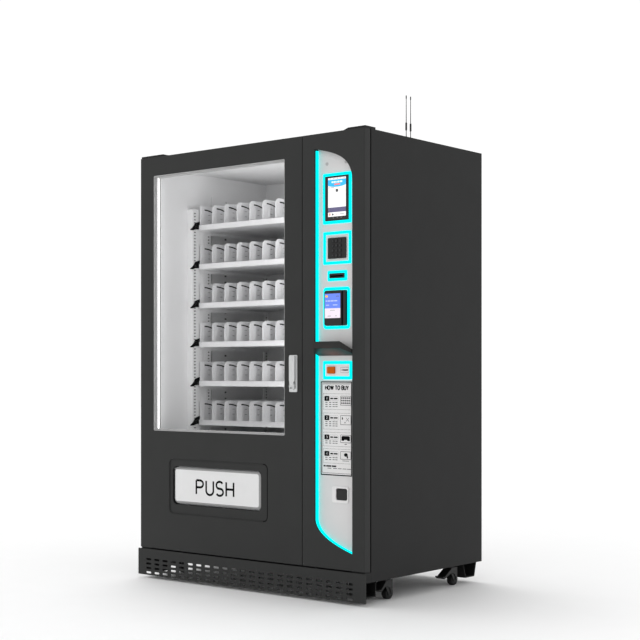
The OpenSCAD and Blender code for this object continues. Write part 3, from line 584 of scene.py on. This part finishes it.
def lever_skirt():
    """The folded skirt behind the lock lever, which closes the gap to its housing."""
    x0, x1, s0, s1, z0, z1 = limits("lock_lever")
    face = limits("lock_housing")[2]
    bm = bmesh.new()
    prism(bm, rounded(x0 + 0.3, x1 - 0.3, z0 + 24, z1 - 0.3, 5), s0 + 5.2, face - 0.5)
    make("lever_skirt", bm, "lock_metal", "lock_lever", bevel=0.4)


lever_skirt()


# ---------------------------------------------------------------- lamps behind the door frame

LAMP_R = 8.0
LAMP_S = 52
LAMP_Z = (694, 1842)
LAMP_X = (-566, 228)
LAMP_CAP = 8
LAMP_END = 4
RAIL_S = (43, 45.5)
RAIL_HALF = 6
STRIP_INSET = 8.6


def door_lights():
    """Two upright lamps and one across the top, with holders, and a lit strip in the frame."""
    x0, x1, s0, s1, z0, z1 = limits("door_lights")
    r = LAMP_R
    s = LAMP_S
    low, high = LAMP_Z
    left, right = LAMP_X
    across = z1 - r
    tubes = bmesh.new()
    caps = bmesh.new()
    for x in (x0 + r + 0.6, x1 - r - 0.6):
        lathe_z(tubes, [(low, r), (high, r)], x, s)
        for z in (low - LAMP_CAP, high):
            lathe_z(caps, [(z, r - 0.4), (z + 0.8, r + 0.6), (z + 7.2, r + 0.6), (z + 8, r - 0.4)], x, s)
        prism(caps, rounded(x - RAIL_HALF, x + RAIL_HALF, low + 1, high - 1), *RAIL_S)
    lathe_x(tubes, [(left, r), (right, r)], s, across)
    for x in (left - LAMP_END, right):
        lathe_x(caps, [(x, r - 0.8), (x + 0.8, r), (x + 3.2, r), (x + 4, r - 0.8)], s, across)
    prism(caps, rounded(left + 6, right - 6, across - RAIL_HALF, across + RAIL_HALF), *RAIL_S)
    fx0, fx1, fs0, fs1, fz0, fz1 = limits("window_frame")
    strips = bmesh.new()
    edge = fx0 + STRIP_INSET
    side_prism(strips, rounded(fs0 + 17, fs0 + 26, fz0 + 9, fz1 - 9), edge, edge + 0.5)
    make("frame_strips", strips, "lamp_white", "main_door")
    make("lamp_tubes", tubes, "lamp_white", "main_door", stands_for=("door_lights",))
    make("lamp_holders", caps, "frame_white", "main_door", bevel=0.3)


door_lights()


# ---------------------------------------------------------------- touch screen

def touch_screen():
    """A plain page in layers: header, note, dashed box, icon, dark band and two bars."""
    x0, x1, s0, s1, z0, z1 = limits("touch_screen")
    page = (x0 + 17, x1 - 13, z0 + 6, z1 - 8)
    s = s0 - 0.02

    def show(name, tone, rects, lift=PRINT, r=0.0):
        printed("screen_" + name, rects, s - lift + PRINT, SCREEN[tone], "control_door", r)

    show("page", "page", [part_of(page, 0, 1, 0, 0.715)])
    status = [part_of(page, f, f + 0.09, 0.015, 0.028) for f in (0.08, 0.28, 0.48, 0.66, 0.86)]
    show("status", "soft", status, 0.24)
    bm = bmesh.new()
    head = part_of(page, 0, 1, 0.045, 0.17)
    low = arc((head[0] + head[1]) / 2, head[2], (head[1] - head[0]) / 2, 9, 180, 360, 20)
    prism(bm, low + [(head[1], head[3]), (head[0], head[3])], s - 0.24, s - 0.12)
    make("screen_header", bm, SCREEN["sky"], "control_door")
    blocks = ((0.2, 0.1), (0.32, 0.08), (0.42, 0.06), (0.52, 0.12), (0.67, 0.13))
    show("title", "cloud", [part_of(page, f, f + w, 0.085, 0.125) for f, w in blocks], 0.36, 1.2)
    show("badge", "orange", [part_of(page, 0.34, 0.68, 0.145, 0.178)], 0.36, 2.5)
    note = [part_of(page, 0.03, 0.12, 0.225, 0.24), part_of(page, 0.16, 0.34, 0.225, 0.24)]
    show("note", "soft", note, 0.24)
    line = dashes(part_of(page, 0.02, 0.98, 0.26, 0.365), 3.5, 2.5, 0.7)
    show("dashes", "leaf", line, 0.24)
    bm = bmesh.new()
    icon = part_of(page, 0.43, 0.57, 0.278, 0.345)
    prism(bm, rounded(*icon, 2), s - 0.24, s - 0.12)
    make("screen_icon", bm, SCREEN["mark"], "control_door")
    show("band", "band", [part_of(page, 0, 1, 0.715, 0.83)])
    show("band_note", "soft", [part_of(page, 0.03, 0.07, 0.755, 0.775)], 0.24)
    show("bar", "page", [part_of(page, 0, 1, 0.83, 0.935)], 0.13)
    red = [part_of(page, 0.07, 0.13, 0.85, 0.91), part_of(page, 0.43, 0.5, 0.875, 0.89)]
    show("bar_red", "orange", red, 0.25, 1.0)
    show("bar_dark", "mark", [part_of(page, 0.22, 0.3, 0.86, 0.905)], 0.25, 1.5)
    grey = [part_of(page, 0.31, 0.36, 0.875, 0.89), part_of(page, 0.64, 0.9, 0.875, 0.89)]
    show("bar_soft", "soft", grey, 0.25)
    show("keys_bar", "night", [part_of(page, 0, 1, 0.935, 1.0)])
    show("keys_marks", "soft", [part_of(page, f, f + 0.03, 0.96, 0.975) for f in (0.28, 0.5, 0.72)], 0.24)


touch_screen()


# ---------------------------------------------------------------- keypad, terminal and coin panel

def key_legends():
    """A plain digit or sign on each key."""
    for k, sign in enumerate(KEY_SIGNS):
        node = "key_%d" % (k + 1)
        x0, x1, s0, s1, z0, z1 = limits(node)
        bm = bmesh.new()
        height = 0.5 * (z1 - z0)
        lettering(bm, sign, (x0 + x1) / 2 - 0.29 * height, z0 + 0.25 * (z1 - z0), height, 0.9, s0)
        make("legend_%d" % (k + 1), bm, LEGEND, node)


def card_screen():
    """The card terminal's screen: a blue upper part, a pale lower part and plain bars."""
    x0, x1, s0, s1, z0, z1 = limits("card_terminal")
    glass = (x0 + 4, x1 - 27, z0 + 31, z1 - 13)
    body = "control_door"

    def show(name, tone, rects, lift=PRINT, r=0.0):
        printed("card_" + name, rects, s0 - lift + PRINT, SCREEN[tone], body, r)

    show("upper", "violet", [part_of(glass, 0, 1, 0, 0.6)])
    show("lower", "blush", [part_of(glass, 0, 1, 0.6, 1)])
    show("square", "amber", [part_of(glass, 0.04, 0.2, 0.065, 0.15)], 0.24, 2)
    show("corner", "band", [part_of(glass, 0.72, 0.94, 0.1, 0.125)], 0.24)
    blocks = ((0.06, 0.1), (0.19, 0.16), (0.38, 0.2), (0.61, 0.2))
    row = [part_of(glass, f, f + w, 0.275, 0.32) for f, w in blocks]
    row += [part_of(glass, 0.08, 0.28, 0.45, 0.485), part_of(glass, 0.52, 0.82, 0.45, 0.485)]
    show("lines", "haze", row, 0.24)
    foot = [part_of(glass, 0.34, 0.66, 0.675, 0.695), part_of(glass, 0.18, 0.4, 0.9, 0.93),
            part_of(glass, 0.68, 0.78, 0.9, 0.93)]
    show("foot", "soft", foot, 0.24)


def coin_marks():
    """A thin outline round the coin slot."""
    x0, x1, s0, s1, z0, z1 = limits("coin_panel")
    mid = (z0 + z1) / 2
    bm = bmesh.new()
    border(bm, (x1 - 45.5, x1 - 2.5, mid - 11, mid + 12), 0.9, s0 + 1.88, s0 + 2.0)
    make("coin_outline", bm, GREY_PRINT_AND_SHADE, "control_door")


PLUG_X = (441, 542)
PLUG_Z = 1814


def disc(x, z, r, steps):
    """The outline of a round disc."""
    return arc(x, z, r, r, 0, 360, steps)[:-1]


def fascia_marks():
    """Two round plugs near the top of the fascia."""
    s0 = limits("fascia_plate")[2]
    bm = bmesh.new()
    for x in PLUG_X:
        frame_prism(bm, disc(x, PLUG_Z, 8, 28), disc(x, PLUG_Z, 7, 28), s0 - 0.4, s0)
        prism(bm, disc(x, PLUG_Z, 5.5, 24), s0 - 0.25, s0)
    make("fascia_plugs", bm, PLUG_GREY, "control_door")


key_legends()
card_screen()
coin_marks()
fascia_marks()


# ---------------------------------------------------------------- instruction plate

ROW_TOPS = (0.13, 0.335, 0.54, 0.715)
ROW_ENDS = (0.3, 0.51, 0.69, 0.87)


def instruction_plate():
    """Four steps, each with a number, plain lines and a small picture, under a heading."""
    x0, x1, s0, s1, z0, z1 = limits("instruction_plate")
    sheet = (x0, x1, z0, z1)
    bm = bmesh.new()
    soft = bmesh.new()

    def patch(target, rect, r=0.0):
        prism(target, rounded(*rect, r), s0 - PRINT, s0)

    border(bm, (x0 + 0.4, x1 - 0.4, z0 + 0.4, z1 - 0.4), 4.6, s0 - PRINT, s0)
    border(bm, (x0 + 8.5, x1 - 4, z0 + 9.5, z1 - 8), 1.4, s0 - PRINT, s0)
    for rect in dashes((x0 + 13, x1 - 6, z1 - 13, z1 - 11.8), 5, 2.5, 1.2)[::2]:
        patch(bm, rect)
    title = part_of(sheet, 0.15, 0.93, 0.048, 0.088)
    lettering(bm, "HOW TO BUY", title[0], title[2], title[3] - title[2], 4.6, s0, PRINT)
    for i, (top, end) in enumerate(zip(ROW_TOPS, ROW_ENDS)):
        row = part_of(sheet, 0.08, 0.985, top, end)
        for rect in dashes(row, 5, 2.2, 1.3):
            patch(soft, rect)
        number = part_of(sheet, 0.12, 0.275, top + 0.026, top + 0.079)
        patch(bm, number, 3)
        label = part_of(sheet, 0.285, 0.57, top + 0.028, top + 0.077)
        for rect in dashes(label, 3, 2, 1.1):
            patch(soft, rect)
        for left, right in ((0.31, 0.4), (0.42, 0.54)):
            patch(bm, part_of(sheet, left, right, top + 0.045, top + 0.06))
        for line in range(3 - i // 2):
            low = top + 0.09 + 0.022 * line
            for f in (0.15, 0.27, 0.38, 0.47):
                patch(soft, part_of(sheet, f, f + 0.07, low, low + 0.008))
        picture = part_of(sheet, 0.63, 0.965, top + 0.024, top + 0.024 + (0.1 if i < 2 else 0.085))
        border(bm, picture, 1.7, s0 - PRINT, s0, 2.5)
        pictogram(bm, i, picture, s0)
    for left, right in ((0.09, 0.16), (0.18, 0.34), (0.36, 0.5)):
        patch(bm, part_of(sheet, left, right, 0.892, 0.908))
    for f in (0.22, 0.4, 0.55, 0.7, 0.84):
        patch(soft, part_of(sheet, f, f + 0.12, 0.92, 0.927))
    make("plate_print", bm, BLACK_PRINT_AND_SHADE, "control_door")
    make("plate_print_soft", soft, GREY_PRINT_AND_SHADE, "control_door")
    digits = bmesh.new()
    for i, top in enumerate(ROW_TOPS):
        number = part_of(sheet, 0.13, 0.27, top + 0.028, top + 0.077)
        tall = 0.48 * (number[3] - number[2])
        x = (number[0] + number[1]) / 2 - 0.3 * tall
        lettering(digits, str(i + 1), x, number[2] + 0.54 * tall, tall, 1.5, s0 - PRINT, 0.1)
    make("plate_digits", digits, "panel_pale", "control_door")


def pictogram(bm, i, rect, s):
    """A small plain picture for one step: shelves, a choice, a payment, a hand at the flap."""

    def block(fx0, fx1, top, bottom, r=0.0):
        prism(bm, rounded(*part_of(rect, fx0, fx1, top, bottom), r), s - PRINT, s)

    if i == 0:
        for row in range(3):
            for col in range(5):
                f = 0.08 + 0.175 * col
                block(f, f + 0.12, 0.14 + 0.27 * row, 0.3 + 0.27 * row)
    elif i == 1:
        x0, x1, z0, z1 = part_of(rect, 0.55, 0.8, 0.25, 0.62)
        ribbon(bm, [(x0, z0), (x1, z1)], 1.6, s - PRINT, s)
        ribbon(bm, [(x0, z1), (x1, z0)], 1.6, s - PRINT, s)
        block(0.14, 0.24, 0.2, 0.45)
        block(0.4, 0.48, 0.7, 0.82)
    elif i == 2:
        block(0.1, 0.9, 0.14, 0.62, 7)
        block(0.1, 0.36, 0.5, 0.74, 3)
        block(0.64, 0.9, 0.5, 0.74, 3)
        block(0.4, 0.6, 1.12, 1.2)
    else:
        x0, x1, z0, z1 = part_of(rect, 0.34, 0.7, 0.2, 0.65)
        head = arc((x0 + x1) / 2, (z0 + z1) / 2, (x1 - x0) / 2, (z1 - z0) / 2, 0, 360, 20)[:-1]
        prism(bm, head, s - PRINT, s)
        block(0.6, 0.72, 0.55, 0.85, 1)
        block(0.2, 0.8, 1.14, 1.2)


instruction_plate()


# ---------------------------------------------------------------- trays and casters

LANES = 10
LANE_WIDTH = 79.5
DIVIDER_HALF = 1.25
SLOT_STEPS = 10


def tray_details():
    """Rolled lips along each price rail, and black pieces filling the slots of each divider as painted
    shade.
    """
    for tray in range(1, TRAYS + 1):
        node = "tray_%d" % tray
        x0, x1, s0, s1, z0, z1 = limits(node)
        bm = bmesh.new()
        for low in (z0 + 0.5, z0 + 21.5):
            prism(bm, rounded(x0 + 0.5, x1 - 0.5, low, low + 3, 1.2, 3), s0 - 1.4, s0 + 0.2)
        make("rail_lips_%d" % tray, bm, "tray_white", node, bevel=0.3)
        slots = bmesh.new()
        marks = bmesh.new()
        first = (x0 + x1) / 2 - LANES * LANE_WIDTH / 2
        turns = [i / SLOT_STEPS for i in range(SLOT_STEPS + 1)]
        # the arched slot, filled with black as painted shade
        top = [(s0 + 34 + 64 * t, z1 - 14 - 12 * t ** 2) for t in turns]
        arch = top + [(s, z - 6) for s, z in reversed(top)]
        for k in range(LANES + 1):
            x = first + k * LANE_WIDTH
            side_prism(slots, arch, x - DIVIDER_HALF - 0.15, x + DIVIDER_HALF + 0.15)
            for drop in (40, 64):
                side_prism(marks, rounded(s0 + 59, s0 + 73, z1 - drop - 1.2, z1 - drop + 1.2),
                           x - DIVIDER_HALF - 0.1, x + DIVIDER_HALF + 0.1)
        make("slot_painted_shade_%d" % tray, slots, BLACK_PRINT_AND_SHADE, node)
        make("slot_marks_%d" % tray, marks, MARK_GREY, node)


# one row of holes: distance from the wall, its two edges in depth, hole height, pitch and count
HOLE_ROWS = (
    (35.6, 267, 277, 6, 15, 72),
    (35.6, 361.5, 370.5, 6, 15, 72),
    (5.6, 510, 522, 8, 30, 38),
    (13.6, 804, 812, 6, 15, 75),
)
FIRST_HOLE_Z = 640
HOLE_DEPTH = 1.5


def perforation_shade():
    """Dark pieces in the holes of the uprights on both walls, a painted shade where the holes look dark."""
    x0, x1, s0, s1, z0, z1 = limits("shelf_uprights")
    bm = bmesh.new()
    for inset, low_s, high_s, height, pitch, count in HOLE_ROWS:
        for i in range(count):
            z = FIRST_HOLE_Z + i * pitch
            for wall, way in ((x0, 1), (x1, -1)):
                face = wall + way * inset
                outline = rounded(low_s, high_s, z - height / 2, z + height / 2)
                side_prism(bm, outline, *sorted((face, face - way * HOLE_DEPTH)))
    make("upright_hole_shade", bm, GREY_PRINT_AND_SHADE, "cabinet")


def caster(name):
    """One caster: tyre, hub with its six dimples on each side, and the fork."""
    wheel = "caster_wheel_" + name
    x0, x1, s0, s1, z0, z1 = limits(wheel)
    x = (x0 + x1) / 2
    s = (s0 + s1) / 2
    z = (z0 + z1) / 2
    r = (z1 - z0) / 2
    bm = bmesh.new()
    tread = [(-13, 15), (-13, r - 3.5), (-11.8, r - 1.2), (-8, r - 0.1), (0, r), (8, r - 0.1),
             (11.8, r - 1.2), (13, r - 3.5), (13, 15)]
    lathe_x(bm, [(x + dx, radius) for dx, radius in tread], s, z, 64)
    make("tyre_" + name, bm, "wheel_rubber", "wheel_" + name, stands_for=(wheel,))
    bm = bmesh.new()
    hub = [(-17.4, 3.2), (-16.9, 4), (-13.6, 4), (-13.4, 8), (-12.8, 8), (-12.4, 14.9), (12.4, 14.9),
           (12.8, 8), (13.4, 8), (13.6, 4), (16.9, 4), (17.4, 3.2)]
    lathe_x(bm, [(x + dx, radius) for dx, radius in hub], s, z, 48)
    for side in (-1, 1):
        for i in range(6):
            a = math.radians(60 * i)
            hole_s = s + 10.6 * math.cos(a)
            hole_z = z + 10.6 * math.sin(a)
            ends = sorted((x + side * 12.5, x + side * 13.2))
            lathe_x(bm, [(ends[0], 2.2), (ends[1], 1.8)], hole_s, hole_z, 16)
    make("hub_" + name, bm, HUB_GREY, "wheel_" + name, bevel=0.15)
    refine("caster_fork_" + name, 0.7)


tray_details()
perforation_shade()
for name in ("fl", "fr", "rl", "rr"):
    caster(name)

# ---------------------------------------------------------------- floor, light and camera

FLOOR_SIZE = 60.0
CAMERA_AT = Vector((4.0327, -4.8008, 0.9506))
CAMERA_TURN = 0.6884
CAMERA_LENS = 77.07
CAMERA_SHIFT = 0.0812
KEY_POWER = 1.2
KEY_SPREAD = 36
KEY_WAY = Vector((0.25, -0.12, -1.0))
SKY_AT_HORIZON = 1.04
SKY_OVERHEAD = 0.7
SIDE_LIGHT_S = 64
SIDE_LIGHT_WIDTH = 0.02
LEFT_POWER = 0.12
RIGHT_POWER = 2.05
TOP_LIGHT_X = -110
TOP_LIGHT_S = 430
TOP_LIGHT_DROP = 150
TOP_LIGHT_LEAN = 20
TOP_LIGHT_SIZE = (0.75, 0.5)
TOP_POWER = 0.8


def floor():
    """A wide, pale studio floor."""
    bm = bmesh.new()
    bmesh.ops.create_grid(bm, x_segments=8, y_segments=8, size=FLOOR_SIZE)
    data = bpy.data.meshes.new("studio_floor")
    bm.to_mesh(data)
    bm.free()
    obj = bpy.data.objects.new("studio_floor", data)
    bpy.context.scene.collection.objects.link(obj)
    data.materials.append(surface("studio_floor", (0.9, 0.9, 0.9), 0.7, tint=0.004, bump=0.0, specular=0.2))


def world():
    """White near the horizon and dimmer overhead."""
    sky = bpy.data.worlds.new("studio")
    sky.use_nodes = True
    nodes, links = sky.node_tree.nodes, sky.node_tree.links
    coord = nodes.new("ShaderNodeTexCoord")
    split = nodes.new("ShaderNodeSeparateXYZ")
    fade = nodes.new("ShaderNodeMapRange")
    fade.inputs["From Min"].default_value = 0.25
    fade.inputs["From Max"].default_value = 0.75
    fade.inputs["To Min"].default_value = SKY_AT_HORIZON
    fade.inputs["To Max"].default_value = SKY_OVERHEAD
    links.new(coord.outputs["Generated"], split.inputs["Vector"])
    links.new(split.outputs["Z"], fade.inputs["Value"])
    links.new(fade.outputs["Result"], nodes["Background"].inputs["Strength"])
    nodes["Background"].inputs["Color"].default_value = (1, 1, 1, 1)
    bpy.context.scene.world = sky


def soft_light(name, place, target, size, power):
    """A rectangular light, unseen by the camera, turned towards a target."""
    light = bpy.data.lights.new(name, "AREA")
    light.shape = "RECTANGLE"
    light.size, light.size_y = size
    light.energy = power
    obj = bpy.data.objects.new(name, light)
    bpy.context.scene.collection.objects.link(obj)
    obj.location = place
    obj.rotation_euler = (target - place).to_track_quat("-Z", "Y").to_euler()
    obj.visible_camera = False


def camera():
    """The view from the front right, level, with the frame shifted up."""
    cam = bpy.data.cameras.new("camera")
    cam.lens = CAMERA_LENS
    cam.shift_y = CAMERA_SHIFT
    obj = bpy.data.objects.new("camera", cam)
    bpy.context.scene.collection.objects.link(obj)
    obj.location = CAMERA_AT
    obj.rotation_euler = (math.pi / 2, 0, CAMERA_TURN)
    bpy.context.scene.camera = obj


def key_light():
    """A broad, soft light from above, a little from the left and behind."""
    light = bpy.data.lights.new("key", "SUN")
    light.energy = KEY_POWER
    light.angle = math.radians(KEY_SPREAD)
    obj = bpy.data.objects.new("key", light)
    bpy.context.scene.collection.objects.link(obj)
    obj.rotation_euler = KEY_WAY.to_track_quat("-Z", "Y").to_euler()


def inner_lights():
    """Light in the product compartment: at the two upright lamps, and thrown up at its roof."""
    x0, x1, s0, s1, z0, z1 = limits("door_lights")
    size = (SIDE_LIGHT_WIDTH, (z1 - z0) * MM)
    for name, x, aim, power in (("left", x0 + 14, 0.3, LEFT_POWER), ("right", x1 - 12, -0.5, RIGHT_POWER)):
        place = at(x, SIDE_LIGHT_S, (z0 + z1) / 2)
        soft_light("lamp_" + name, place, place + Vector((aim, 1, 0)), size, power)
    place = at(TOP_LIGHT_X, TOP_LIGHT_S, z1 - TOP_LIGHT_DROP)
    target = at(TOP_LIGHT_X, TOP_LIGHT_S + TOP_LIGHT_LEAN, z1)
    soft_light("lamp_top", place, target, TOP_LIGHT_SIZE, TOP_POWER)


floor()
world()
key_light()
inner_lights()
camera()
bpy.context.scene.view_settings.view_transform = "Standard"
